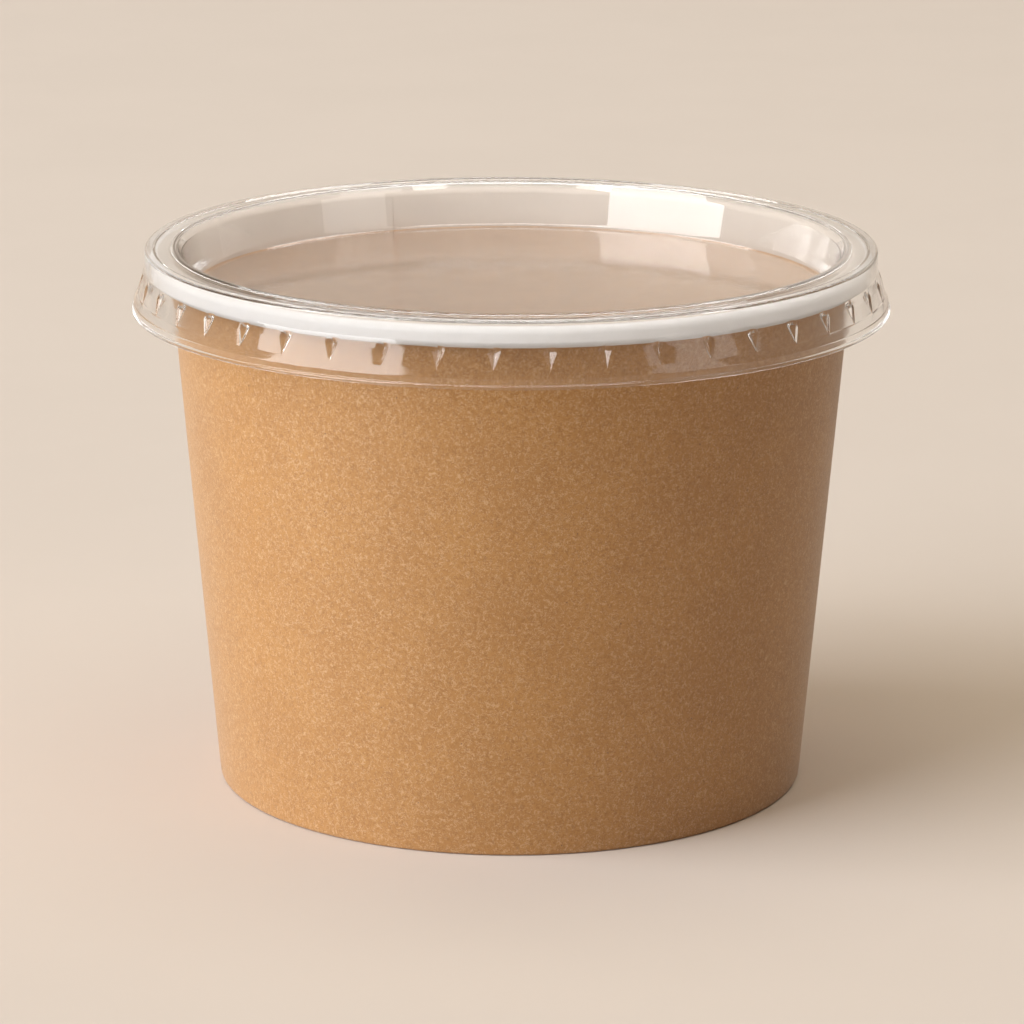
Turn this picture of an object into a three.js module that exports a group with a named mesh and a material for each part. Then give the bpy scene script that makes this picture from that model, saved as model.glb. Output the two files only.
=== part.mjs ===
// Kraft paper ice cream cup with a clear pressed-on lid.
// Millimetres, +Z up. The cup stands on z = 0 with its axis on Z; -Y is the front.

import * as THREE from 'three';

// ---------------------------------------------------------------- paper cup
const FOOT_RADIUS = 40.0; // outside of the wall at the table
const WALL_TAPER = 0.085; // gain in radius for each mm of height
const BOARD = 0.5; // paper board of the side wall
const CUP_COLUMNS = 72; // flat facets round the cup

// The rim is the top of the wall curled outward and down over itself.
const RIM_TOP = 72.45;
const RIM_BOTTOM = 69.6;
const RIM_ROLL_RADIUS = 1.38; // outside radius of the curl
const CURL_END_ANGLE = -100; // degrees; the free edge stops just short of the wall

// The wall's lower edge is folded up round the flange of the base.
const FOOT_CORNER = 0.45; // outer corner of the fold
const HEM_CORNER = 0.25; // inner corner of the fold
const HEM_HEIGHT = 7.0;
const CLEARANCE = 0.3; // air between pieces that touch

// The base is a recessed disc with its edge turned down.
const BASE_BOARD = 0.45;
const DISC_UNDERSIDE = HEM_HEIGHT + 0.35;
const FLANGE_BOTTOM = BOARD + 0.35;
const BASE_CORNER = 0.4;

// ---------------------------------------------------------------------- lid
const LID_SHEET = 0.4; // thermoformed sheet
const PANEL_HEIGHT = 67.3; // top face of the recessed panel
const CREST_HEIGHT = 73.6; // highest line of the lid
const BAND_RADIUS = 49.35; // upright band round the rim
const LIP_RADIUS = 51.2; // flared lower edge
const LIP_BOTTOM = 65.3;

// Crimps are V-shaped dents below the band that close in under the rolled rim.
const CRIMP_COUNT = 44;
const CRIMP_DEPTH = 0.65;
const CRIMP_HALF_WIDTH = 1.3; // degrees
const CRIMP_PHASE = -2.5; // degrees from the front to the nearest crimp

const DEGREE = Math.PI / 180;

// Points of a circular arc in the (radius, height) plane, ends included.
function arc(centreR, centreZ, radius, fromDegrees, toDegrees, steps) {
  const points = [];
  for (let i = 0; i <= steps; i += 1) {
    const angle = (fromDegrees + ((toDegrees - fromDegrees) * i) / steps) * DEGREE;
    points.push([centreR + radius * Math.cos(angle), centreZ + radius * Math.sin(angle)]);
  }
  return points;
}

function wallOutside(z) {
  return FOOT_RADIUS + WALL_TAPER * z;
}

function wallInside(z) {
  return wallOutside(z) - BOARD;
}

function flangeOutside(z) {
  return wallInside(z) - CLEARANCE;
}

function hemOutside(z) {
  return flangeOutside(z) - BASE_BOARD - CLEARANCE;
}

function hemInside(z) {
  return hemOutside(z) - BOARD;
}

// A closed outline in the (radius, height) plane, turned about Z.
// The outline runs with the material on its left.
function turned(outline, columns) {
  const points = outline.map(([r, z]) => new THREE.Vector2(r, z));
  const geometry = new THREE.LatheGeometry(points, columns);
  geometry.rotateX(Math.PI / 2);
  return geometry;
}

// Side wall: folded foot, tapered board and curled rim, all one strip of paper.
function cupWallGeometry() {
  const topCentre = RIM_TOP - RIM_ROLL_RADIUS;
  const bottomCentre = RIM_BOTTOM + RIM_ROLL_RADIUS;
  const curlRadius = RIM_ROLL_RADIUS - BOARD;
  const curlCentre = wallInside(topCentre) + RIM_ROLL_RADIUS;
  const footInner = hemInside(0) + HEM_CORNER;
  const outline = [
    ...arc(FOOT_RADIUS - FOOT_CORNER, FOOT_CORNER, FOOT_CORNER, -90, 0, 2),
    ...arc(curlCentre, topCentre, curlRadius, 180, 0, 5),
    ...arc(curlCentre, bottomCentre, curlRadius, 0, CURL_END_ANGLE, 3),
    ...arc(curlCentre, bottomCentre, RIM_ROLL_RADIUS, CURL_END_ANGLE, 0, 4),
    ...arc(curlCentre, topCentre, RIM_ROLL_RADIUS, 0, 180, 6),
    [wallInside(BOARD), BOARD],
    [hemOutside(BOARD), BOARD],
    [hemOutside(HEM_HEIGHT), HEM_HEIGHT],
    [hemInside(HEM_HEIGHT), HEM_HEIGHT],
    ...arc(footInner, HEM_CORNER, HEM_CORNER, 180, 270, 2),
  ];
  outline.push(outline[0]);
  return turned(outline, CUP_COLUMNS);
}

// Base: a flat disc whose turned-down flange sits inside the folded foot.
function cupBaseGeometry() {
  const discTop = DISC_UNDERSIDE + BASE_BOARD;
  const flangeInside = (z) => flangeOutside(z) - BASE_BOARD;
  const edge = flangeOutside(discTop) - BASE_CORNER;
  const outline = [
    [0, DISC_UNDERSIDE],
    [flangeInside(DISC_UNDERSIDE), DISC_UNDERSIDE],
    [flangeInside(FLANGE_BOTTOM), FLANGE_BOTTOM],
    [flangeOutside(FLANGE_BOTTOM), FLANGE_BOTTOM],
    ...arc(edge, discTop - BASE_CORNER, BASE_CORNER, 0, 90, 2),
    [0, discTop],
  ];
  return turned(outline, CUP_COLUMNS);
}

// Outer face of the lid from the panel's edge out to the lip: radius, height,
// and whether the crimps' columns run through that ring.
function lidOuterFace() {
  return [
    { r: 42.6, z: PANEL_HEIGHT, fine: false },
    { r: 43.15, z: PANEL_HEIGHT + 0.25, fine: false },
    { r: 43.4, z: PANEL_HEIGHT + 0.85, fine: false }, // foot of the plug wall
    { r: 44.35, z: CREST_HEIGHT - 1.15, fine: false }, // top of the plug wall
    { r: 44.85, z: CREST_HEIGHT - 0.25, fine: false },
    { r: 45.3, z: CREST_HEIGHT, fine: false }, // inner crest
    { r: 46.1, z: CREST_HEIGHT - 0.4, fine: false }, // shallow groove
    { r: 47.7, z: CREST_HEIGHT - 0.4, fine: false },
    { r: 48.3, z: CREST_HEIGHT - 0.05, fine: false }, // outer crest
    { r: BAND_RADIUS - 0.4, z: CREST_HEIGHT - 0.15, fine: false },
    { r: BAND_RADIUS, z: CREST_HEIGHT - 0.65, fine: false },
    { r: BAND_RADIUS, z: 70.95, fine: false }, // foot of the band
    { r: 49.7, z: 70.1, fine: true },
    { r: 49.75, z: 69.85, fine: true, dent: 1 }, // shelf of each crimp
    { r: 50.35, z: 67.75, fine: true }, // point of each crimp
    { r: LIP_RADIUS - 0.15, z: 66.6, fine: false }, // flare
    { r: LIP_RADIUS, z: 66.2, fine: false },
    { r: LIP_RADIUS, z: LIP_BOTTOM, fine: false },
  ];
}

// The other face of a sheet, set back by its thickness.
function setBack(face, thickness) {
  const sharpestMitre = 1.3;
  const normalOf = (from, to) => {
    const length = Math.hypot(to.r - from.r, to.z - from.z);
    return { r: -(to.z - from.z) / length, z: (to.r - from.r) / length };
  };
  return face.map((point, i) => {
    const before = i > 0 ? normalOf(face[i - 1], point) : { r: 0, z: 1 };
    const after = i < face.length - 1 ? normalOf(point, face[i + 1]) : before;
    const sum = { r: before.r + after.r, z: before.z + after.z };
    const length = Math.hypot(sum.r, sum.z);
    const mitre = Math.min(2 / length, sharpestMitre);
    return {
      r: point.r - (sum.r / length) * mitre * thickness,
      z: point.z - (sum.z / length) * mitre * thickness,
    };
  });
}

// Columns round the lid: four for each crimp, two of them on the plain rings.
function lidColumns() {
  const pitch = 360 / CRIMP_COUNT;
  const columns = [];
  for (let k = 0; k < CRIMP_COUNT; k += 1) {
    const centre = CRIMP_PHASE + k * pitch - 90;
    columns.push({ angle: centre - CRIMP_HALF_WIDTH, dented: false, coarse: false });
    columns.push({ angle: centre, dented: true, coarse: true });
    columns.push({ angle: centre + CRIMP_HALF_WIDTH, dented: false, coarse: false });
    columns.push({ angle: centre + pitch / 2, dented: false, coarse: true });
  }
  return columns;
}

// Triangles between two rings whose columns are in the same order; a ring may
// leave columns out. Each ring lists the column of each of its vertices.
function stitch(triangles, first, second, columnCount) {
  const at = (ring, i) => ring.vertices[i % ring.vertices.length];
  const columnAt = (ring, i) => {
    const lap = Math.floor(i / ring.columns.length);
    return ring.columns[i % ring.columns.length] + lap * columnCount;
  };
  let i = 0;
  let j = 0;
  while (i < first.vertices.length || j < second.vertices.length) {
    const nextFirst = i < first.vertices.length ? columnAt(first, i + 1) : Infinity;
    const nextSecond = j < second.vertices.length ? columnAt(second, j + 1) : Infinity;
    if (nextSecond <= nextFirst) {
      triangles.push(at(first, i), at(second, j), at(second, j + 1));
      j += 1;
    } else {
      triangles.push(at(first, i), at(second, j), at(first, i + 1));
      i += 1;
    }
  }
}

// The lid is one thin sheet: panel, plug wall, grooved ring, band, crimps, lip.
function lidGeometry() {
  const columns = lidColumns();
  const face = lidOuterFace();
  const dentedFace = face.map((point) => ({
    ...point,
    r: point.r - (point.dent || 0) * CRIMP_DEPTH,
  }));
  const sections = columns.map((column) => {
    const outer = column.dented ? dentedFace : face;
    const inner = setBack(outer, LID_SHEET);
    inner[inner.length - 1].z = LIP_BOTTOM;
    return [...outer, ...inner.reverse()];
  });
  const fineRings = [...face, ...face.slice().reverse()].map((point) => point.fine);

  const positions = [];
  const addVertex = (x, y, z) => {
    positions.push(x, y, z);
    return positions.length / 3 - 1;
  };
  const rings = fineRings.map((fine, ringIndex) => {
    const ring = { vertices: [], columns: [] };
    columns.forEach((column, columnIndex) => {
      if (!fine && !column.coarse) return;
      // A plain ring is round, so its dented columns are at the full radius.
      const { r, z } = sections[columnIndex][ringIndex];
      const angle = column.angle * DEGREE;
      ring.vertices.push(addVertex(r * Math.cos(angle), r * Math.sin(angle), z));
      ring.columns.push(columnIndex);
    });
    return ring;
  });

  const triangles = [];
  for (let i = 0; i < rings.length - 1; i += 1) {
    stitch(triangles, rings[i], rings[i + 1], columns.length);
  }
  // The panel is closed on the axis, above and below.
  const top = addVertex(0, 0, PANEL_HEIGHT);
  const underside = addVertex(0, 0, PANEL_HEIGHT - LID_SHEET);
  const first = rings[0].vertices;
  const last = rings[rings.length - 1].vertices;
  for (let i = 0; i < first.length; i += 1) {
    const next = (i + 1) % first.length;
    triangles.push(top, first[i], first[next]);
    triangles.push(underside, last[next], last[i]);
  }

  const geometry = new THREE.BufferGeometry();
  geometry.setAttribute('position', new THREE.Float32BufferAttribute(positions, 3));
  geometry.setIndex(triangles);
  geometry.computeVertexNormals();
  return geometry;
}

const kraftBoard = { color: 0xc08d5b, roughness: 0.85, metalness: 0 };
const clearPlastic = {
  color: 0xe8e6e2,
  roughness: 0.08,
  metalness: 0,
  transparent: true,
  opacity: 0.35,
};

function piece(name, geometry, look) {
  const mesh = new THREE.Mesh(geometry, new THREE.MeshStandardMaterial(look));
  mesh.name = name;
  return mesh;
}

const cup = new THREE.Group();
cup.add(piece('cup_wall', cupWallGeometry(), kraftBoard));
cup.add(piece('cup_base', cupBaseGeometry(), kraftBoard));
cup.add(piece('lid', lidGeometry(), clearPlastic));

export default cup;
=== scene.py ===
"""Kraft paper ice cream cup with a clear lid, standing on a pale surface in soft studio light."""

import math

import bpy
from mathutils import Matrix, Vector


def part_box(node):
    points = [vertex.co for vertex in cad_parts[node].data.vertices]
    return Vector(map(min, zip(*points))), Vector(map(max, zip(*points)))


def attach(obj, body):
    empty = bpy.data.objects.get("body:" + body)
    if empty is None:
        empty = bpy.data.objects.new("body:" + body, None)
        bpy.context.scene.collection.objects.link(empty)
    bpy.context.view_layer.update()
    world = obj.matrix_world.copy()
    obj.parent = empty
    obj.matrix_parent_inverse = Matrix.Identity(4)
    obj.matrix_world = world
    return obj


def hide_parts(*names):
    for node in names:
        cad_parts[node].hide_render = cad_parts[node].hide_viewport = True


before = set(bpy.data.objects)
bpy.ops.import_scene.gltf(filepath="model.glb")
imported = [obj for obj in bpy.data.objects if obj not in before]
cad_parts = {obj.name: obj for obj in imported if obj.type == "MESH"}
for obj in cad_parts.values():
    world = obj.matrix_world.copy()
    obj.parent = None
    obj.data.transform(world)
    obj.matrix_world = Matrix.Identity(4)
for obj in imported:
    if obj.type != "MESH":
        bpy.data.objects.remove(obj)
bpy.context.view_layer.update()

MM = 0.001

# ------------------------------------------------------------------ the cup, in millimetres
WALL_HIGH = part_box("cup_wall")[1] / MM
BASE_LOW, BASE_HIGH = (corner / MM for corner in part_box("cup_base"))

FOOT_RADIUS = 40.0
WALL_TAPER = 0.085  # gain in radius for each millimetre of height
BOARD = 0.5
OUTER_RINGS = (1.5, 20.0, 40.0, 60.0)  # heights of the points up the outer face
INNER_RINGS = (50.0, 30.0, 12.0, 1.2)  # heights of the points down the inner face
RIM_TOP = WALL_HIGH.z + 0.05
RIM_BOTTOM = 69.65
RIM_WIDTH = 3.0  # across the curl
RIM_CORNER = 0.95  # the curl is a little flattened between its rounded corners
FOOT_CORNER = 0.45
HEM_CORNER = 0.25
HEM_HEIGHT = 7.0
CLEARANCE = 0.3
WALL_COLUMNS = 288

BASE_BOARD = 0.45
DISC_TOP = BASE_HIGH.z
DISC_UNDERSIDE = DISC_TOP - BASE_BOARD
FLANGE_BOTTOM = BASE_LOW.z
BASE_CORNER = 0.4
BASE_INNER_CORNER = 0.25
DISC_HOLD = 0.3  # a ring this far in from the edge keeps the disc flat
BASE_COLUMNS = 192

SEAM_ANGLE = 112.0  # degrees from +X: at the back, out of the front view
SEAM_STEP = 0.28  # the outer layer of board stands proud of the inner one
SEAM_RAMP = 16.0  # degrees over which the outer layer comes down to the inner
SEAM_CURVE = 1.5  # power of its rise
SEAM_BOTTOM, SEAM_BOTTOM_FADE = 0.6, 2.0  # the lap starts here and is full this far above
SEAM_TOP, SEAM_TOP_FADE = 71.0, 1.0  # it ends here and is full this far below
SEAM_COLUMNS = (-0.35, -0.12, 0.0, 0.06, 0.25)  # degrees from the seam
SEAM_MARGIN = 0.7  # degrees from the seam to the nearest even columns

WHITE_EDGE_BOTTOM = 66.3  # the white of the rim runs down the inside to here, in a darker copy that is painted shade
CURL_START = 0.12  # faces further out from the wall than this are the curl's
CURL_HANG = 0.4  # down to this far below its underside

# ------------------------------------------------------------------ the lid, in millimetres
LID_LOW, LID_HIGH = (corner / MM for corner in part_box("lid"))

LID_SHEET = 0.38
CREST_HEIGHT = LID_HIGH.z
GROOVE_DEPTH = 0.38
PANEL_HEIGHT = 67.3
PANEL_RADIUS = 42.4  # the haze of the flat panel ends here
RING_RADIUS = 45.3  # the middle of the inner crest
BAND_RADIUS = 49.35
BAND_FOOT = 70.65
BAND_SLACK = 0.1  # a radius this close to the band's counts as the band
LIP_RADIUS = LID_HIGH.x
LIP_BOTTOM = LID_LOW.z - 0.25
LIP_CORNER = 0.08  # on the inner side of the lip
BEAD_REACH = 0.26  # how far the rounded edge of the lip stands out
BEAD_HALF = 0.27  # half the height of that edge
BEAD_POINTS = 8  # along that edge
FILLET_STEPS = 4
FLAT_MARGIN = 0.12  # a straight stretch is held flat by points this far from its ends
FLAT_SHORTEST = 0.6  # shorter stretches are left as they are

CRIMP_COUNT = 44
CRIMP_PITCH = 360.0 / CRIMP_COUNT
CRIMP_PHASE = -2.5  # degrees from the front to the nearest crimp
CRIMP_DEPTH = 0.65
CRIMP_HALF_WIDTH = 1.02  # degrees, at the shelf
CRIMP_NARROWEST = 0.05  # share of that width that is left at and below the point
CRIMP_SHELF = 69.5  # where a crimp is deepest
CRIMP_TOP = 70.15
CRIMP_POINT = 67.4
SHELF_CORNER = 0.1  # a crimp begins to close this far below its shelf
CRIMP_STEP = 0.25  # between the rings of points that shape a crimp
CRIMP_STEPS_BELOW, CRIMP_STEPS_ABOVE = 0.1, 0.2  # how far those rings go past a crimp
EVEN_ABOVE = (0.5, 2.0)  # above the shelf, the columns go back to even spacing over this range
EVEN_BELOW = 1.4  # and below the point over this height
SKIRT_REACH = 1.0  # columns are drawn to the crimps from this far inside the band outwards

# Columns across one crimp, in half widths from its crease. The rest are spread to the next crimp.
CRIMP_SPREAD = (-1.1, -0.96, -0.7, -0.35, -0.08, 0.0, 0.08, 0.35, 0.7, 0.96, 1.1)
PLAIN_COLUMNS = 1
CREASE_COLUMN = CRIMP_SPREAD.index(0.0)
COLUMNS_PER_CRIMP = len(CRIMP_SPREAD) + PLAIN_COLUMNS
FIRST_CREASE = CRIMP_PHASE - 90.0  # degrees from +X

# ------------------------------------------------------------------ colours of the paper
KRAFT_TONE = (0.470, 0.223, 0.051)
COATED_TONE = (0.50, 0.32, 0.18)
WHITE_TONE = (0.66, 0.655, 0.66)
# painted shade: the white board's tone made darker and warmer, for the top of the inside of the cup
# and the inner half of the curl's top
SHADED_WHITE_TONE = (0.53, 0.48, 0.44)
PALE_FIBRE = (0.84, 0.64, 0.42)
PALE_SHARE = 0.40  # of that tone in a board's pale fibres
DARK_SHADE = (0.66, 0.57, 0.42)  # of a board's tone, in its dark fibres and grain
CLOUD_SHADE = (0.92, 0.90, 0.88)  # of a board's tone, in its clouds
SPECK_TONE = (0.10, 0.05, 0.03)
SHEEN_TINT = (0.92, 0.96, 1.0)
WHITE_CLOUD_SHADE = (0.965, 0.965, 0.965)
WHITE_FIBRE_SHADE = (0.80, 0.77, 0.73)
FLOOR_TONE = (0.637, 0.574, 0.534)
FLOOR_CLOUD = (0.627, 0.565, 0.525)
CLOUD_RANGE = (0.35, 0.65)  # of the soft mottling, from clear to cloudy
FLOOR_CLOUD_RANGE = (0.3, 0.7)
GRAIN_RANGE = (0.30, 0.70)

# ------------------------------------------------------------------ the clear sheet
SHEET_TONE = (0.985, 0.985, 0.98)
SHEET_IOR = 1.5
SHEET_ROUGHNESS = 0.02
PANEL_HAZE = 0.07  # extra roughness of the flat panel
SKIRT_HAZE = 0.05  # and of the skirt below the band
WAVE_HAZE = 0.03  # and of the uneven patches
MOST_BOUNCES = 4.5  # a ray with more bounces than this goes straight through the sheet
TRAPPED_TINT = 0.97  # what such a ray keeps
STRAIGHT_TINT = 0.80  # what a shadow ray keeps, and soft light that goes straight through
RING_STRAIGHT = 0.7  # share of soft light that goes straight through the ring and beyond
SKIRT_STRAIGHT = 0.3  # what is added to that share on the skirt

# ------------------------------------------------------------------ camera, in millimetres
CAMERA_PLACE = (0.2, -623.1, 199.0)
CAMERA_PITCH = 14.66  # degrees below the horizon
CAMERA_ROLL = 0.16
LENS = 165.4
SENSOR = 36.0
CAMERA_REACH = (0.01, 50.0)  # metres, nearest and farthest

# ------------------------------------------------------------------ the studio, in metres
FLOOR_REACH = 6.0
BRIGHTNESS = 1.2  # of all the lights together
LIGHT_DISTANCE = 4.0
CARD_DISTANCE = 3.9  # a card hangs a little in front of its light
CEILING = 3.0
CEILING_SIZE = (3.4, 3.4)
CEILING_RADIANCE = 1.74
HIGH_CARD_ANGLE = 62.0  # degrees up to the middle of the high cards
HIGH_CARD_SIZE = (4.4, 1.7)
HIGH_CARD_RADIANCE = 6.0

KEY_TINT = (0.96, 1.0, 1.05)
AMBIENT_TINT = (1.0, 0.86, 0.64)
BACKDROP_TINT = (1.0, 0.84, 0.69)
WHITE = (1.0, 1.0, 1.0)

# Each upright light or card: name, bearings, elevations, radiance and tint. Both angles are in
# degrees, seen from the cup's foot, and bearings go from the front, to the right where positive.
KEY_RISE = (0.0, 60.0)
SIDE_RISE = (0.0, 45.0)
BACKDROP_SPAN = ((125.0, 235.0), (1.0, 25.0))
SHADING_LIGHTS = (
    ("key_softbox", (-69.5, -37.5), KEY_RISE, 3.6, KEY_TINT),
    ("side_softbox", (-100.0, -69.5), SIDE_RISE, 4.5, KEY_TINT),
    ("backdrop_light", *BACKDROP_SPAN, 0.86, BACKDROP_TINT),
)
MIRRORED_CARDS = (
    ("key_card", (-83.0, -36.0), KEY_RISE, 6.2, WHITE),
    ("right_card", (47.0, 73.0), SIDE_RISE, 1.4, WHITE),
    ("backdrop_card", *BACKDROP_SPAN, 0.32, BACKDROP_TINT),
)

AIR_TONE = (0.90, 0.80, 0.70)
AIR_SEEN = 0.9  # strength of the studio air behind things
AIR_MIRRORED = 0.4  # its strength in reflections
AIR_INSIDE = 2.3  # its strength as light inside the cup


# ================================================================== shaping
def arc(centre_r, centre_z, radius, start, end, steps):
    """Points of a circular arc in the radius and height plane, ends included."""
    points = []
    for i in range(steps + 1):
        angle = math.radians(start + (end - start) * i / steps)
        points.append((centre_r + radius * math.cos(angle), centre_z + radius * math.sin(angle)))
    return points


def rounded(corners, steps):
    """An open outline whose corners are rounded: each corner is (radius, height, fillet)."""
    points = []
    for i, (r, z, fillet) in enumerate(corners):
        here = Vector((r, z))
        if fillet == 0 or i in (0, len(corners) - 1):
            points.append((r, z))
            continue
        back = (Vector(corners[i - 1][:2]) - here).normalized()
        ahead = (Vector(corners[i + 1][:2]) - here).normalized()
        half = back.angle(ahead) / 2
        reach = fillet / math.tan(half)
        centre = here + (back + ahead).normalized() * (fillet / math.sin(half))
        start = here + back * reach - centre
        end = here + ahead * reach - centre
        turn = start.angle_signed(end)
        for k in range(steps + 1):
            spoke = Matrix.Rotation(-turn * k / steps, 2) @ start
            points.append(tuple(centre + spoke))
    return points


def held_flat(points):
    """Adds a point near each end of every long straight stretch, so that it stays flat."""
    result = [points[0]]
    for (r0, z0), (r1, z1) in zip(points, points[1:]):
        length = math.hypot(r1 - r0, z1 - z0)
        if length > FLAT_SHORTEST:
            for share in (FLAT_MARGIN / length, 1 - FLAT_MARGIN / length):
                result.append((r0 + (r1 - r0) * share, z0 + (z1 - z0) * share))
        result.append((r1, z1))
    return result


def subdivided(points, low, high, least_radius, step):
    """Cuts the outer stretches between two heights into pieces no longer than step."""
    result = [points[0]]
    for (r0, z0), (r1, z1) in zip(points, points[1:]):
        length = math.hypot(r1 - r0, z1 - z0)
        inside = low < (z0 + z1) / 2 < high and min(r0, r1) > least_radius
        count = max(1, math.ceil(length / step)) if inside else 1
        for k in range(1, count + 1):
            result.append((r0 + (r1 - r0) * k / count, z0 + (z1 - z0) * k / count))
    return result


def set_back(points, thickness):
    """The other face of a sheet whose first face is points."""
    result = []
    for i, (r, z) in enumerate(points):
        r0, z0 = points[max(i - 1, 0)]
        r1, z1 = points[min(i + 1, len(points) - 1)]
        length = math.hypot(r1 - r0, z1 - z0)
        result.append((r + (z1 - z0) / length * thickness, z - (r1 - r0) / length * thickness))
    return result


def revolved(name, outline, angles, place=None, closed=True):
    """A mesh object turned about Z. The outline runs with the material on its right.

    place(column, r, z, angle) may move a point of the outline in a column.
    An outline that isn't closed starts and ends on the axis.
    """
    vertices, faces = [], []
    columns = len(angles)
    for i, (r, z) in enumerate(outline):
        if not closed and i in (0, len(outline) - 1):
            continue
        for column, angle in enumerate(angles):
            pr, pz, at = place(column, r, z, angle) if place else (r, z, angle)
            spoke = math.radians(at)
            vertices.append((pr * math.cos(spoke) * MM, pr * math.sin(spoke) * MM, pz * MM))
    rings = len(vertices) // columns
    for i in range(rings if closed else rings - 1):
        j = (i + 1) % rings
        for k in range(columns):
            n = (k + 1) % columns
            faces.append((i * columns + k, j * columns + k, j * columns + n, i * columns + n))
    if not closed:
        for z, ring, flip in ((outline[0][1], 0, False), (outline[-1][1], rings - 1, True)):
            centre = len(vertices)
            vertices.append((0.0, 0.0, z * MM))
            for k in range(columns):
                n = (k + 1) % columns
                a, b = ring * columns + k, ring * columns + n
                faces.append((centre, b, a) if flip else (centre, a, b))
    mesh = bpy.data.meshes.new(name)
    mesh.from_pydata(vertices, [], faces)
    mesh.validate()
    mesh.shade_smooth()
    piece = bpy.data.objects.new(name, mesh)
    bpy.context.scene.collection.objects.link(piece)
    return piece


def even_angles(count):
    """Angles of columns spaced evenly round the axis, in degrees."""
    return [360.0 * k / count for k in range(count)]


def share_of(value, low, high):
    """How far a value has come from low to high, kept between 0 and 1."""
    return min(1.0, max(0.0, (value - low) / (high - low)))


def smooth_step(value, low, high):
    """0 below low, 1 above high, smooth between."""
    share = share_of(value, low, high)
    return share * share * (3.0 - 2.0 * share)


# ================================================================== node helpers
def colour(red, green, blue):
    """A colour as Blender's sockets take it."""
    return (red, green, blue, 1.0)


def shaded(tone, shares):
    """A tone with its red, green and blue each cut to a share."""
    return colour(*(part * share for part, share in zip(tone, shares)))


class Graph:
    """Short calls for building one node tree."""

    def __init__(self, tree):
        self.tree = tree

    def node(self, kind, **settings):
        made = self.tree.nodes.new(kind)
        for key, value in settings.items():
            setattr(made, key, value)
        return made

    def link(self, source, target):
        self.tree.links.new(source, target)

    def feed(self, socket, value):
        """Links value where it is a socket, and sets it where it is a plain number or colour."""
        if isinstance(value, bpy.types.NodeSocket):
            self.link(value, socket)
        else:
            socket.default_value = value

    def math(self, operation, first, second=0.0, third=0.0):
        made = self.node("ShaderNodeMath", operation=operation)
        for socket, value in zip(made.inputs, (first, second, third)):
            self.feed(socket, value)
        return made.outputs[0]

    def noise(self, vector, scale, detail=2.0, roughness=0.5, distortion=0.0):
        made = self.node("ShaderNodeTexNoise")
        self.link(vector, made.inputs["Vector"])
        self.feed(made.inputs["Scale"], scale)
        made.inputs["Detail"].default_value = detail
        made.inputs["Roughness"].default_value = roughness
        made.inputs["Distortion"].default_value = distortion
        return made.outputs["Fac"]

    def ramp(self, value, low, high):
        """0 below low, 1 above high, smooth between."""
        made = self.node("ShaderNodeMapRange", interpolation_type="SMOOTHSTEP")
        self.feed(made.inputs["Value"], value)
        self.feed(made.inputs["From Min"], low)
        self.feed(made.inputs["From Max"], high)
        return made.outputs["Result"]

    def mix(self, factor, first, second):
        """A colour that goes from first to second as factor goes from 0 to 1."""
        made = self.node("ShaderNodeMix", data_type="RGBA")
        self.feed(made.inputs[0], factor)
        self.feed(made.inputs[6], first)
        self.feed(made.inputs[7], second)
        return made.outputs[2]

    def mix_shaders(self, factor, first, second):
        made = self.node("ShaderNodeMixShader")
        for socket, source in zip(made.inputs, (factor, first, second)):
            self.link(source, socket)
        return made.outputs["Shader"]

    def see_through(self, tint):
        """A shader that lets rays go straight on, with this share of their light."""
        made = self.node("ShaderNodeBsdfTransparent")
        made.inputs["Color"].default_value = colour(tint, tint, tint)
        return made.outputs["BSDF"]

    def millimetres(self, offset=(0.0, 0.0, 0.0)):
        """The object's own coordinates, in millimetres. An offset keeps two patterns apart."""
        place = self.node("ShaderNodeTexCoord").outputs["Object"]
        made = self.node("ShaderNodeMapping")
        self.link(place, made.inputs["Vector"])
        made.inputs["Location"].default_value = offset
        made.inputs["Scale"].default_value = (1.0 / MM, 1.0 / MM, 1.0 / MM)
        return made.outputs["Vector"]

    def from_axis(self):
        """Distance from the cup's axis, in millimetres."""
        parts = self.node("ShaderNodeSeparateXYZ")
        self.link(self.millimetres(), parts.inputs["Vector"])
        across = self.math("POWER", parts.outputs["X"], 2.0)
        along = self.math("POWER", parts.outputs["Y"], 2.0)
        return self.math("SQRT", self.math("ADD", across, along))


def new_group(name, inputs, outputs):
    """A shader node group with float inputs {name: default} and float outputs [name]."""
    tree = bpy.data.node_groups.new(name, "ShaderNodeTree")
    for key, default in inputs.items():
        socket = tree.interface.new_socket(key, in_out="INPUT", socket_type="NodeSocketFloat")
        socket.default_value = default
    for key in outputs:
        tree.interface.new_socket(key, in_out="OUTPUT", socket_type="NodeSocketFloat")
    graph = Graph(tree)
    entry = graph.node("NodeGroupInput")
    end = graph.node("NodeGroupOutput")
    return tree, graph, entry.outputs, end.inputs


def use_group(graph, tree, **values):
    """Places a node group in a material with its own values, and gives its outputs."""
    made = graph.node("ShaderNodeGroup")
    made.node_tree = tree
    for key, value in values.items():
        made.inputs[key].default_value = value
    return made.outputs


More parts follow.
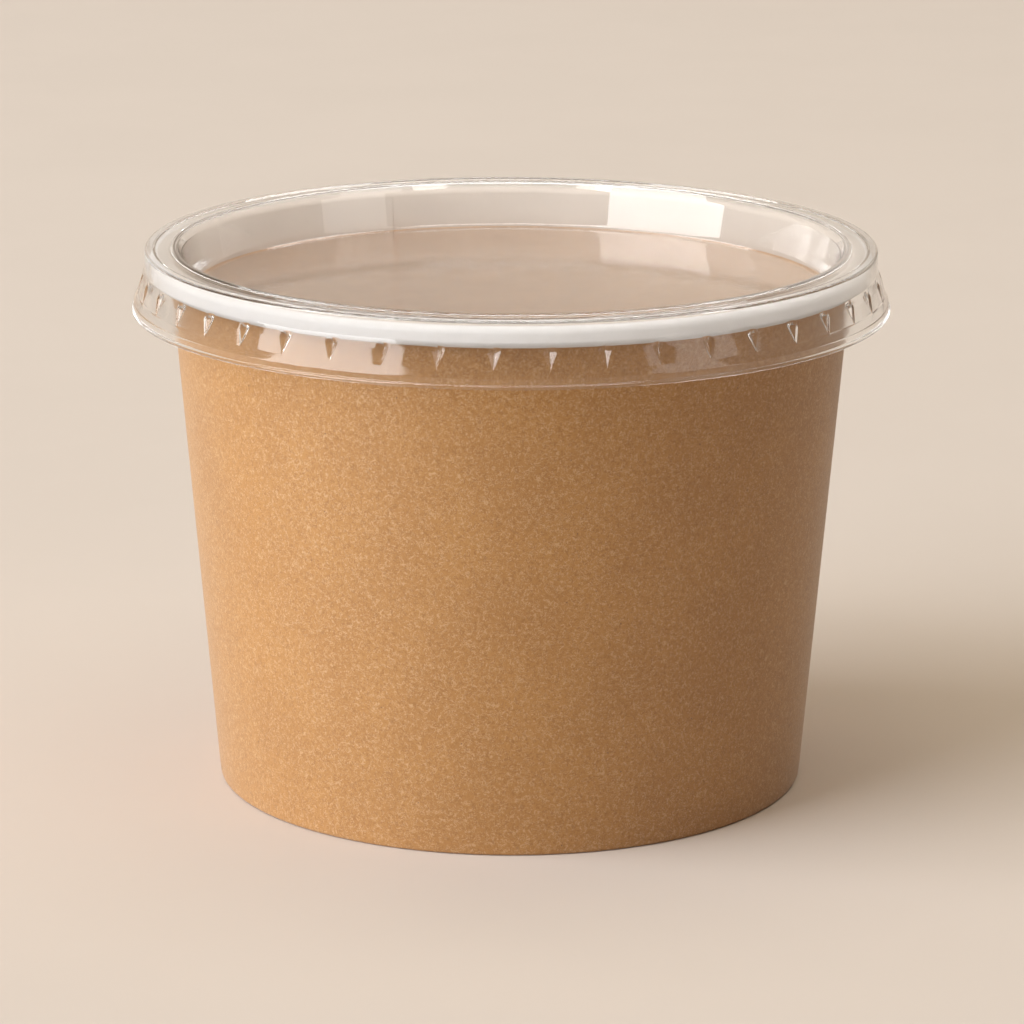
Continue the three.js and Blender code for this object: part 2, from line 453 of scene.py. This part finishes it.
# ================================================================== shared effects
def paper_fibre_group():
    """Short curling fibres pressed into paper: a pale set and a dark set."""
    tree, graph, given, out = new_group(
        "paper_fibres", {"Fineness": 1.0, "Width": 0.05}, ["Pale", "Dark"]
    )

    def fibres(offset, scale):
        place = graph.millimetres(offset)
        size = graph.math("MULTIPLY", given["Fineness"], scale)
        field = graph.noise(place, size, detail=0.0, distortion=1.3)
        ridge = graph.math("ABSOLUTE", graph.math("SUBTRACT", field, 0.5))
        thread = graph.math("SUBTRACT", 1.0, graph.ramp(ridge, 0.0, given["Width"]))
        broken = graph.noise(place, graph.math("MULTIPLY", size, 1.1), detail=0.0)
        return graph.math("MULTIPLY", thread, graph.ramp(broken, 0.40, 0.56))

    pale_a = fibres(offset=(3.1, 7.7, 1.3), scale=1.05)
    pale_b = fibres(offset=(41.0, 13.0, 29.0), scale=1.45)
    dark_a = fibres(offset=(17.0, 57.0, 5.0), scale=1.15)
    dark_b = fibres(offset=(71.0, 23.0, 61.0), scale=1.7)
    graph.link(graph.math("MAXIMUM", pale_a, pale_b), out["Pale"])
    graph.link(graph.math("MAXIMUM", dark_a, dark_b), out["Dark"])
    return tree


def mottling_group():
    """Slow, soft change over a surface, and a fine even grain."""
    tree, graph, given, out = new_group("mottling", {"Size": 12.0}, ["Soft", "Grain"])
    place = graph.millimetres(offset=(9.0, 4.0, 2.0))
    soft_scale = graph.math("DIVIDE", 1.0, given["Size"])
    grain_scale = 4.5
    graph.link(graph.noise(place, soft_scale, detail=3.0, roughness=0.6), out["Soft"])
    graph.link(graph.noise(place, grain_scale, detail=3.0, roughness=0.7), out["Grain"])
    return tree


def speck_group():
    """Sparse dark flecks of bark and ink left in recycled pulp."""
    tree, graph, given, out = new_group("pulp_specks", {"Size": 0.16}, ["Specks"])
    place = graph.millimetres(offset=(2.0, 8.0, 5.0))
    cells = graph.node("ShaderNodeTexVoronoi", feature="F1")
    graph.link(place, cells.inputs["Vector"])
    cells.inputs["Scale"].default_value = 0.45
    patch_scale = 0.43
    rare = graph.ramp(graph.noise(place, patch_scale, detail=0.0), 0.48, 0.54)
    dot = graph.math("SUBTRACT", 1.0, graph.ramp(cells.outputs["Distance"], 0.02, given["Size"]))
    graph.link(graph.math("MULTIPLY", dot, rare), out["Specks"])
    return tree


def sheet_wave_group():
    """Faint unevenness of thermoformed sheet: slow waves and fine haze."""
    tree, graph, given, out = new_group("sheet_waves", {"Size": 9.0}, ["Height", "Haze"])
    place = graph.millimetres(offset=(5.0, 3.0, 8.0))
    wave_scale = graph.math("DIVIDE", 1.0, given["Size"])
    haze_scale = 0.35
    graph.link(graph.noise(place, wave_scale, detail=1.0), out["Height"])
    graph.link(graph.noise(place, haze_scale, detail=4.0, roughness=0.65), out["Haze"])
    return tree


# ================================================================== materials
def new_material(name):
    """A material, the graph of its nodes and its Principled shader."""
    material = bpy.data.materials.new(name)
    material.use_nodes = True
    graph = Graph(material.node_tree)
    shader = material.node_tree.nodes["Principled BSDF"]
    return material, graph, shader


def bump(graph, shader, height, strength, distance):
    """Relief too fine for the mesh. The distance is in metres."""
    made = graph.node("ShaderNodeBump")
    made.inputs["Strength"].default_value = strength
    made.inputs["Distance"].default_value = distance
    graph.link(height, made.inputs["Height"])
    graph.link(made.outputs["Normal"], shader.inputs["Normal"])


def kraft_material(groups, name, tone, roughness):
    """Brown board: fibres pale and dark, specks, soft mottling and a matt surface."""
    material, graph, shader = new_material(name)
    fibres = use_group(graph, groups["fibres"], Fineness=1.25, Width=0.075)
    mottle = use_group(graph, groups["mottle"], Size=11.0)
    specks = use_group(graph, groups["specks"], Size=0.07)

    pale = colour(*(t * (1.0 - PALE_SHARE) + p * PALE_SHARE for t, p in zip(tone, PALE_FIBRE)))
    dark = shaded(tone, DARK_SHADE)
    clouds = graph.ramp(mottle["Soft"], *CLOUD_RANGE)
    board = graph.mix(clouds, colour(*tone), shaded(tone, CLOUD_SHADE))
    grain = graph.ramp(mottle["Grain"], *GRAIN_RANGE)
    layers = (
        (grain, 0.22, dark),
        (fibres["Pale"], 0.66, pale),
        (fibres["Dark"], 0.68, dark),
        (specks["Specks"], 0.75, colour(*SPECK_TONE)),
    )
    for mask, cover, tint in layers:
        board = graph.mix(graph.math("MULTIPLY", mask, cover), board, tint)
    graph.link(board, shader.inputs["Base Color"])

    rougher_grain = 0.10
    uneven = graph.math("MULTIPLY_ADD", grain, rougher_grain, roughness - rougher_grain / 2)
    graph.link(uneven, shader.inputs["Roughness"])
    shader.inputs["Specular IOR Level"].default_value = 0.55
    shader.inputs["Sheen Weight"].default_value = 0.3
    shader.inputs["Sheen Roughness"].default_value = 0.5
    shader.inputs["Sheen Tint"].default_value = colour(*SHEEN_TINT)
    bump(graph, shader, mottle["Grain"], strength=0.5, distance=0.00006)
    return material


def white_paper_material(groups, name, tone):
    """The white face of the board, on the rolled rim and just inside it."""
    material, graph, shader = new_material(name)
    fibres = use_group(graph, groups["fibres"], Fineness=0.8, Width=0.06)
    mottle = use_group(graph, groups["mottle"], Size=8.0)
    clouds = graph.ramp(mottle["Soft"], *CLOUD_RANGE)
    face = graph.mix(clouds, colour(*tone), shaded(tone, WHITE_CLOUD_SHADE))
    fibre_cover = graph.math("MULTIPLY", fibres["Dark"], 0.12)
    face = graph.mix(fibre_cover, face, shaded(tone, WHITE_FIBRE_SHADE))
    graph.link(face, shader.inputs["Base Color"])
    uneven = graph.math("MULTIPLY_ADD", mottle["Grain"], 0.12, 0.70)
    graph.link(uneven, shader.inputs["Roughness"])
    shader.inputs["Specular IOR Level"].default_value = 0.3
    bump(graph, shader, mottle["Grain"], strength=0.2, distance=0.00004)
    return material


def clear_plastic_material(groups):
    """Clear glossy sheet that casts no hard shadow and traps no light in its folds."""
    material, graph, shader = new_material("clear_sheet")
    waves = use_group(graph, groups["waves"], Size=9.0)
    shader.inputs["Base Color"].default_value = colour(*SHEET_TONE)
    shader.inputs["Metallic"].default_value = 0.0
    shader.inputs["Transmission Weight"].default_value = 1.0
    shader.inputs["IOR"].default_value = SHEET_IOR
    haze = graph.ramp(waves["Haze"], 0.35, 0.75)
    on_panel = graph.math("LESS_THAN", graph.from_axis(), PANEL_RADIUS)
    on_ring = graph.math("GREATER_THAN", graph.from_axis(), RING_RADIUS)
    on_skirt = graph.math("GREATER_THAN", graph.from_axis(), BAND_RADIUS + BAND_SLACK)
    rough = graph.math("MULTIPLY_ADD", on_panel, PANEL_HAZE, SHEET_ROUGHNESS)
    rough = graph.math("MULTIPLY_ADD", on_skirt, SKIRT_HAZE, rough)
    rough = graph.math("MULTIPLY_ADD", haze, WAVE_HAZE, rough)
    graph.link(rough, shader.inputs["Roughness"])
    bump(graph, shader, waves["Height"], strength=0.05, distance=0.0004)

    rays = graph.node("ShaderNodeLightPath")
    trapped = graph.math("GREATER_THAN", rays.outputs["Ray Depth"], MOST_BOUNCES)
    freed = graph.mix_shaders(trapped, shader.outputs["BSDF"], graph.see_through(TRAPPED_TINT))

    on_skirt_only = graph.math("MULTIPLY", on_skirt, SKIRT_STRAIGHT)
    share = graph.math("MULTIPLY_ADD", on_ring, RING_STRAIGHT, on_skirt_only)
    soft_light = graph.math("MULTIPLY", rays.outputs["Is Diffuse Ray"], share)
    straight = graph.math("MAXIMUM", rays.outputs["Is Shadow Ray"], soft_light)
    blend = graph.mix_shaders(straight, freed, graph.see_through(STRAIGHT_TINT))
    finish = material.node_tree.nodes["Material Output"]
    graph.link(blend, finish.inputs["Surface"])
    return material


def floor_material(groups):
    """Pale warm studio paper."""
    material, graph, shader = new_material("studio_paper")
    mottle = use_group(graph, groups["mottle"], Size=60.0)
    clouds = graph.ramp(mottle["Soft"], *FLOOR_CLOUD_RANGE)
    tone = graph.mix(clouds, colour(*FLOOR_TONE), colour(*FLOOR_CLOUD))
    graph.link(tone, shader.inputs["Base Color"])
    shader.inputs["Roughness"].default_value = 0.9
    shader.inputs["Specular IOR Level"].default_value = 0.2
    return material


# ================================================================== the cup
# Radii of the layers of board at a height, from the outer face inwards.
def wall_outside(z):
    return FOOT_RADIUS + WALL_TAPER * z


def wall_inside(z):
    return wall_outside(z) - BOARD


def flange_outside(z):
    return wall_inside(z) - CLEARANCE


def hem_outside(z):
    return flange_outside(z) - BASE_BOARD - CLEARANCE


def hem_inside(z):
    return hem_outside(z) - BOARD


def rim_inside():
    """Radius of the curl's inner side."""
    return wall_inside(RIM_TOP - RIM_CORNER)


def wall_outline():
    """The section of the side wall, from the foot up its outer face, over the curl and down inside."""
    left, right = rim_inside() + RIM_CORNER, rim_inside() + RIM_WIDTH - RIM_CORNER
    top, bottom = RIM_TOP - RIM_CORNER, RIM_BOTTOM + RIM_CORNER
    curl_end = (left + right) / 2
    hollow = RIM_CORNER - BOARD
    points = [
        *arc(FOOT_RADIUS - FOOT_CORNER, FOOT_CORNER, FOOT_CORNER, -90, 0, 6),
        *((wall_outside(z), z) for z in OUTER_RINGS),
        *arc(left, top, hollow, 180, 90, 6),
        *arc(right, top, hollow, 90, 0, 6),
        *arc(right, bottom, hollow, 0, -90, 6),
        (curl_end, RIM_BOTTOM + BOARD),
        (curl_end, RIM_BOTTOM),
        *arc(right, bottom, RIM_CORNER, -90, 0, 8),
        *arc(right, top, RIM_CORNER, 0, 90, 8),
        *arc(left, top, RIM_CORNER, 90, 180, 8),
        *((wall_inside(z), z) for z in (WHITE_EDGE_BOTTOM, *INNER_RINGS)),
        (wall_inside(BOARD), BOARD),
        (hem_outside(BOARD), BOARD),
        (hem_outside(HEM_HEIGHT), HEM_HEIGHT),
        (hem_inside(HEM_HEIGHT), HEM_HEIGHT),
        *arc(hem_inside(0) + HEM_CORNER, HEM_CORNER, HEM_CORNER, 180, 270, 5),
    ]
    points.reverse()
    return points


def seam_lift(angle, z):
    """How far the lapped board stands out: it rises slowly with the angle, then ends in a step."""
    before = (SEAM_ANGLE - angle) % 360.0
    if before >= SEAM_RAMP:
        return 0.0
    above_foot = share_of(z - SEAM_BOTTOM, 0.0, SEAM_BOTTOM_FADE)
    below_rim = share_of(SEAM_TOP - z, 0.0, SEAM_TOP_FADE)
    return SEAM_STEP * (1 - before / SEAM_RAMP) ** SEAM_CURVE * above_foot * below_rim


def cup_wall_piece(kraft, white, shaded_white, coated):
    def place(column, r, z, angle):
        return r + seam_lift(angle, z), z, angle

    even = [a for a in even_angles(WALL_COLUMNS) if abs(a - SEAM_ANGLE) > SEAM_MARGIN]
    near_seam = [SEAM_ANGLE + step for step in SEAM_COLUMNS]
    piece = revolved("paper_wall", wall_outline(), sorted(even + near_seam), place)
    for material in (kraft, white, shaded_white, coated):
        piece.data.materials.append(material)
    paint_faces(piece)
    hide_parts("cup_wall")
    return piece


def paint_faces(piece):
    """The curl is white. The top of the inside and the inner half of the curl's top get a darker,
    warmer copy of that white, which is painted shade, and the rest a clear coat.
    """
    white, shaded_white, coated = 1, 2, 3
    curl_start = wall_outside(RIM_BOTTOM) + CURL_START
    curl_centre = rim_inside() + RIM_WIDTH / 2
    for face in piece.data.polygons:
        centre = face.center
        r, z = math.hypot(centre.x, centre.y) / MM, centre.z / MM
        inner = r < wall_outside(z) - BOARD / 2
        over = z > RIM_TOP - RIM_CORNER
        # painted shade: these faces of the white board take its darker, warmer copy
        if (inner and z > WHITE_EDGE_BOTTOM) or (over and r < curl_centre):
            face.material_index = shaded_white
        elif over or (z > RIM_BOTTOM - CURL_HANG and r > curl_start):
            face.material_index = white
        elif inner and z > BOARD:
            face.material_index = coated


def cup_base_piece(coated):
    edge = flange_outside(DISC_TOP) - BASE_CORNER
    bottom_inner = flange_outside(FLANGE_BOTTOM) - BASE_BOARD
    top_inner = flange_outside(DISC_UNDERSIDE) - BASE_BOARD
    outline = [
        (0.0, DISC_TOP),
        (edge - DISC_HOLD, DISC_TOP),
        *reversed(arc(edge, DISC_TOP - BASE_CORNER, BASE_CORNER, 0, 90, 6)),
        (flange_outside(FLANGE_BOTTOM), FLANGE_BOTTOM),
        (bottom_inner, FLANGE_BOTTOM),
        (top_inner, DISC_UNDERSIDE - BASE_INNER_CORNER),
        (top_inner - BASE_INNER_CORNER, DISC_UNDERSIDE),
        (0.0, DISC_UNDERSIDE),
    ]
    piece = revolved("paper_base", outline, even_angles(BASE_COLUMNS), closed=False)
    piece.data.materials.append(coated)
    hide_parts("cup_base")
    return piece


# ================================================================== the lid
def lid_face():
    """The outer face of the sheet, from the axis over the ring and down to the lip."""
    crest = CREST_HEIGHT
    strip = LIP_RADIUS - BEAD_REACH
    bead = LIP_BOTTOM + BEAD_HALF
    corners = [
        (0.0, PANEL_HEIGHT, 0),
        (43.28, PANEL_HEIGHT, 0.7),  # foot of the plug wall
        (44.38, crest - 1.05, 0.5),  # top of the plug wall
        (44.95, crest, 0.42),  # inner crest
        (45.65, crest, 0.3),
        (46.0, crest - GROOVE_DEPTH, 0.35),  # shallow groove
        (47.75, crest - GROOVE_DEPTH, 0.35),
        (48.1, crest - 0.1, 0.3),  # outer crest
        (BAND_RADIUS, crest - 0.2, 0.35),
        (BAND_RADIUS, BAND_FOOT, 0.5),
        (49.85, 69.4, 0.8),  # shelves of the crimps
        (50.4, 67.45, 0.7),  # points of the crimps
        (strip, 66.4, 0.4),  # flare
        (strip, bead + BEAD_HALF, 0),
    ]
    edge = [
        (strip + BEAD_REACH * math.sin(turn), bead + BEAD_HALF * math.cos(turn))
        for turn in (math.pi * k / BEAD_POINTS for k in range(1, BEAD_POINTS + 1))
    ]
    down = held_flat(rounded(corners, FILLET_STEPS))
    lowest, highest = CRIMP_POINT - CRIMP_STEPS_BELOW, CRIMP_TOP + CRIMP_STEPS_ABOVE
    return subdivided(down, lowest, highest, BAND_RADIUS - BAND_SLACK, CRIMP_STEP) + edge


def even_lid_angles():
    """Angles of the lid's columns where they are evenly spaced, in degrees."""
    step = CRIMP_PITCH / COLUMNS_PER_CRIMP
    first = FIRST_CREASE - CREASE_COLUMN * step
    return [first + step * k for k in range(CRIMP_COUNT * COLUMNS_PER_CRIMP)]


def crimped_place(column, z):
    """The angle of a column and how far it is pressed in, at a height of the crimped zone."""
    crimp, k = divmod(column, COLUMNS_PER_CRIMP)
    centre = FIRST_CREASE + crimp * CRIMP_PITCH
    rise = min(1.0, max(CRIMP_NARROWEST, (z - CRIMP_POINT) / (CRIMP_SHELF - CRIMP_POINT)))
    width = CRIMP_HALF_WIDTH * rise
    if k < len(CRIMP_SPREAD):
        across = CRIMP_SPREAD[k]
        deep = rise if CRIMP_POINT < z else 0.0
        deep *= 1.0 - smooth_step(z, CRIMP_SHELF - SHELF_CORNER, CRIMP_TOP)
        return centre + across * width, CRIMP_DEPTH * deep * max(0.0, 1.0 - abs(across))
    start = CRIMP_SPREAD[-1] * width
    gap = CRIMP_PITCH - 2.0 * start
    return centre + start + gap * (k - len(CRIMP_SPREAD) + 1) / (PLAIN_COLUMNS + 1), 0.0


def lid_piece(plastic):
    outer = lid_face()
    inner = set_back(outer[:-BEAD_POINTS - 1], LID_SHEET)
    lip_inside = LIP_RADIUS - BEAD_REACH - LID_SHEET
    inner.append((lip_inside, LIP_BOTTOM + LIP_CORNER))
    inner.append((lip_inside + LIP_CORNER, LIP_BOTTOM))

    def place(column, r, z, angle):
        if r < BAND_RADIUS - SKIRT_REACH:
            return r, z, angle
        crimped, dent = crimped_place(column, z)
        above = smooth_step(z, *(CRIMP_SHELF + rise for rise in EVEN_ABOVE))
        below = 1.0 - smooth_step(z, CRIMP_POINT - EVEN_BELOW, CRIMP_POINT)
        return r - dent, z, crimped + (angle - crimped) * max(above, below)

    piece = revolved("clear_lid", outer + inner[::-1], even_lid_angles(), place, closed=False)
    piece.data.materials.append(plastic)
    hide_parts("lid")
    return piece


# ================================================================== the studio
def make_camera():
    data = bpy.data.cameras.new("camera")
    data.lens = LENS
    data.sensor_width = SENSOR
    data.clip_start, data.clip_end = CAMERA_REACH
    camera = bpy.data.objects.new("camera", data)
    bpy.context.scene.collection.objects.link(camera)
    tilt = Matrix.Rotation(math.radians(90.0 - CAMERA_PITCH), 4, "X")
    roll = Matrix.Rotation(math.radians(CAMERA_ROLL), 4, "Z")
    camera.matrix_world = Matrix.Translation(Vector(CAMERA_PLACE) * MM) @ tilt @ roll
    bpy.context.scene.camera = camera


def make_floor(material):
    mesh = bpy.data.meshes.new("studio_floor")
    corners = [(FLOOR_REACH * x, FLOOR_REACH * y, 0) for x, y in ((-1, -1), (1, -1), (1, 1), (-1, 1))]
    mesh.from_pydata(corners, [], [(0, 1, 2, 3)])
    mesh.materials.append(material)
    floor = bpy.data.objects.new("studio_floor", mesh)
    bpy.context.scene.collection.objects.link(floor)


def panel_light(name, place, facing_away, size, radiance, tint):
    """A flat rectangular light that shines against facing_away and isn't seen itself."""
    data = bpy.data.lights.new(name, "AREA")
    data.shape = "RECTANGLE"
    data.size, data.size_y = size
    data.energy = BRIGHTNESS * radiance * math.pi * size[0] * size[1]
    data.color = tint
    light = bpy.data.objects.new(name, data)
    bpy.context.scene.collection.objects.link(light)
    light.location = place
    light.rotation_euler = facing_away.to_track_quat("Z", "Y").to_euler()
    light.visible_camera = False
    light.visible_transmission = False
    return light


def upright_light(name, bearings, elevations, radiance, tint, distance):
    """A panel that fills a range of directions seen from the cup's foot."""
    bearing = math.radians(sum(bearings) / 2)
    width = 2 * distance * math.tan(math.radians(bearings[1] - bearings[0]) / 2)
    low, high = (distance * math.tan(math.radians(elevation)) for elevation in elevations)
    out = Vector((math.sin(bearing), -math.cos(bearing), 0.0))
    place = out * distance + Vector((0, 0, (low + high) / 2))
    return panel_light(name, place, out, (width, high - low), radiance, tint)


def high_card(name, side):
    """A white card high in front of the cup or behind it, that draws the edges of the lid."""
    angle = math.radians(HIGH_CARD_ANGLE)
    out = Vector((0.0, side * math.cos(angle), math.sin(angle)))
    return panel_light(name, out * CARD_DISTANCE, out, HIGH_CARD_SIZE, HIGH_CARD_RADIANCE, WHITE)


def make_lights():
    """Lights that only shape the shading, and cards that only show as reflections."""
    up = Vector((0.0, 0.0, 1.0))
    lights = [upright_light(*row, LIGHT_DISTANCE) for row in SHADING_LIGHTS]
    lights.append(
        panel_light("top_softbox", up * CEILING, up, CEILING_SIZE, CEILING_RADIANCE, AMBIENT_TINT)
    )
    cards = [upright_light(*row, CARD_DISTANCE) for row in MIRRORED_CARDS]
    cards += [high_card("front_card", -1.0), high_card("rear_card", 1.0)]
    for light in lights:
        light.visible_glossy = False
    for card in cards:
        card.visible_diffuse = False


def make_world():
    """Pale studio air, seen behind things and in reflections.

    Soft light comes from it only through the lid, and not straight to the board or the floor.
    """
    world = bpy.data.worlds.new("studio_air")
    bpy.context.scene.world = world
    world.use_nodes = True
    world.cycles_visibility.diffuse = False
    graph = Graph(world.node_tree)
    sky = world.node_tree.nodes["Background"]
    sky.inputs["Color"].default_value = colour(*AIR_TONE)
    rays = graph.node("ShaderNodeLightPath")
    mirrored = rays.outputs["Is Glossy Ray"]
    inside = graph.math("GREATER_THAN", rays.outputs["Diffuse Depth"], 0.5)
    strength = graph.math("MULTIPLY_ADD", mirrored, AIR_MIRRORED - AIR_SEEN, AIR_SEEN)
    lift = graph.math("SUBTRACT", AIR_INSIDE, strength)
    graph.link(graph.math("MULTIPLY_ADD", inside, lift, strength), sky.inputs["Strength"])


def main():
    groups = {
        "fibres": paper_fibre_group(),
        "mottle": mottling_group(),
        "specks": speck_group(),
        "waves": sheet_wave_group(),
    }
    kraft = kraft_material(groups, "kraft_board", KRAFT_TONE, roughness=0.60)
    coated = kraft_material(groups, "coated_inside", COATED_TONE, roughness=0.50)
    white = white_paper_material(groups, "white_rim_paper", WHITE_TONE)
    # painted shade: the same white paper, darker and warmer, where the inside of the cup lies in shade
    shaded_white = white_paper_material(groups, "shaded_white_inside", SHADED_WHITE_TONE)
    plastic = clear_plastic_material(groups)
    wall = cup_wall_piece(kraft, white, shaded_white, coated)
    for piece in (wall, cup_base_piece(coated), lid_piece(plastic)):
        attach(piece, "root")
    make_camera()
    make_floor(floor_material(groups))
    make_lights()
    make_world()
    bpy.context.scene.view_settings.view_transform = "Standard"


main()
